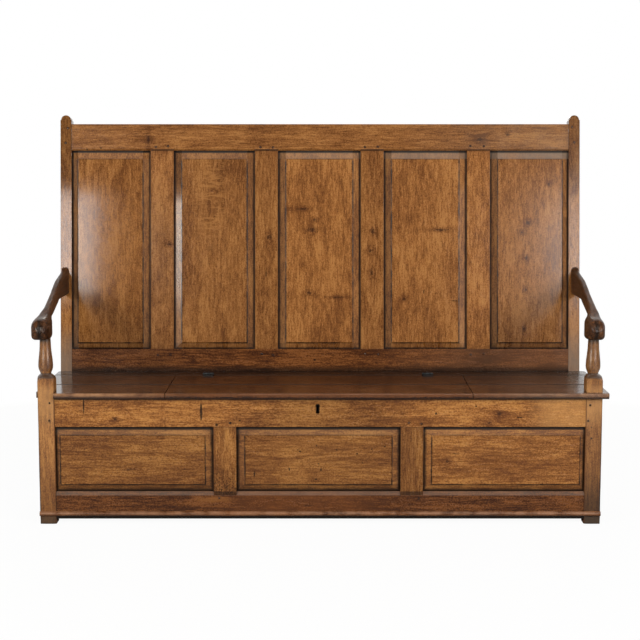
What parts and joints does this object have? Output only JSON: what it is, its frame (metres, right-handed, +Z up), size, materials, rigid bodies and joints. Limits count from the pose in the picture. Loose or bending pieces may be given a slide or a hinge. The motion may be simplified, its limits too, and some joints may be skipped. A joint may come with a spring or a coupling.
{
  "type": "settle bench",
  "caption": "Long oak settle bench with a raked panelled back, open arms on turned supports and a panelled box seat whose middle lifts as a lid with an inside lock.",
  "frame": {"origin": "middle of the bench's bounding box, on the floor", "axes": "+X along the bench to the right seen from the front, +Y to the back, +Z up; the sitter faces -Y"},
  "size_m": [1.916, 0.6366, 1.367],
  "materials": {
    "oak_honey": "waxed oak, honey to golden brown, worn and mottled",
    "oak_brown": "waxed oak, reddish brown, darker in the corners",
    "oak_dark": "dark brown oak, polished by use, soft gloss",
    "oak_plain": "unwaxed oak, dry and matt",
    "iron": "forged iron, blue-black, slightly worn"
  },
  "bodies": {
    "frame": {"front_post_left": "oak_honey", "front_post_right": "oak_honey", "front_top_rail": "oak_honey", "front_bottom_rail": "oak_brown", "front_muntin_1": "oak_honey", "front_muntin_2": "oak_honey", "front_panel_1": "oak_honey", "front_panel_2": "oak_honey", "front_panel_3": "oak_honey", "base_moulding": "oak_brown", "side_top_rail_left": "oak_brown", "side_top_rail_right": "oak_brown", "side_bottom_rail_left": "oak_brown", "side_bottom_rail_right": "oak_brown", "side_panel_left": "oak_brown", "side_panel_right": "oak_brown", "rear_top_rail": "oak_plain", "rear_bottom_rail": "oak_plain", "rear_muntin": "oak_plain", "rear_panel_1": "oak_plain", "rear_panel_2": "oak_plain", "rear_post_left": "oak_brown", "rear_post_right": "oak_brown", "back_top_rail": "oak_honey", "back_bottom_rail": "oak_brown", "back_muntin_1": "oak_honey", "back_muntin_2": "oak_honey", "back_muntin_3": "oak_honey", "back_muntin_4": "oak_honey", "back_panel_1": "oak_honey", "back_panel_2": "oak_honey", "back_panel_3": "oak_honey", "back_panel_4": "oak_honey", "back_panel_5": "oak_honey", "seat_left_front_board": "oak_dark", "seat_left_rear_board": "oak_dark", "seat_right_front_board": "oak_dark", "seat_right_rear_board": "oak_dark", "seat_rear_strip": "oak_dark", "seat_bearer_1": "oak_plain", "seat_bearer_2": "oak_plain", "hinge_1_fixed_leaf": "iron", "hinge_1_pin": "iron", "hinge_2_fixed_leaf": "iron", "hinge_2_pin": "iron", "lock_case": "iron", "floor_board_1": "oak_plain", "floor_board_2": "oak_plain", "floor_board_3": "oak_plain", "floor_bearer": "oak_plain", "arm_left": "oak_dark", "arm_right": "oak_dark"},
    "lid": {"lid_front_board": "oak_dark", "lid_rear_board": "oak_dark", "lid_batten_1": "oak_plain", "lid_batten_2": "oak_plain", "hinge_1_lid_leaf": "iron", "hinge_2_lid_leaf": "iron", "lid_staple": "iron"},
    "bolt": {"lock_bolt": "iron"}
  },
  "joints": [
    {"name": "lid_hinge", "type": "hinge", "parent": "frame", "child": "lid", "pos_m": [0, 0.07573, 0.4518], "axis": [-1, 0, 0], "range_deg": [0, 108]},
    {"name": "bolt_slide", "type": "slide", "parent": "frame", "child": "bolt", "axis": [-1, 0, 0], "range_m": [0, 0.012]}
  ]
}
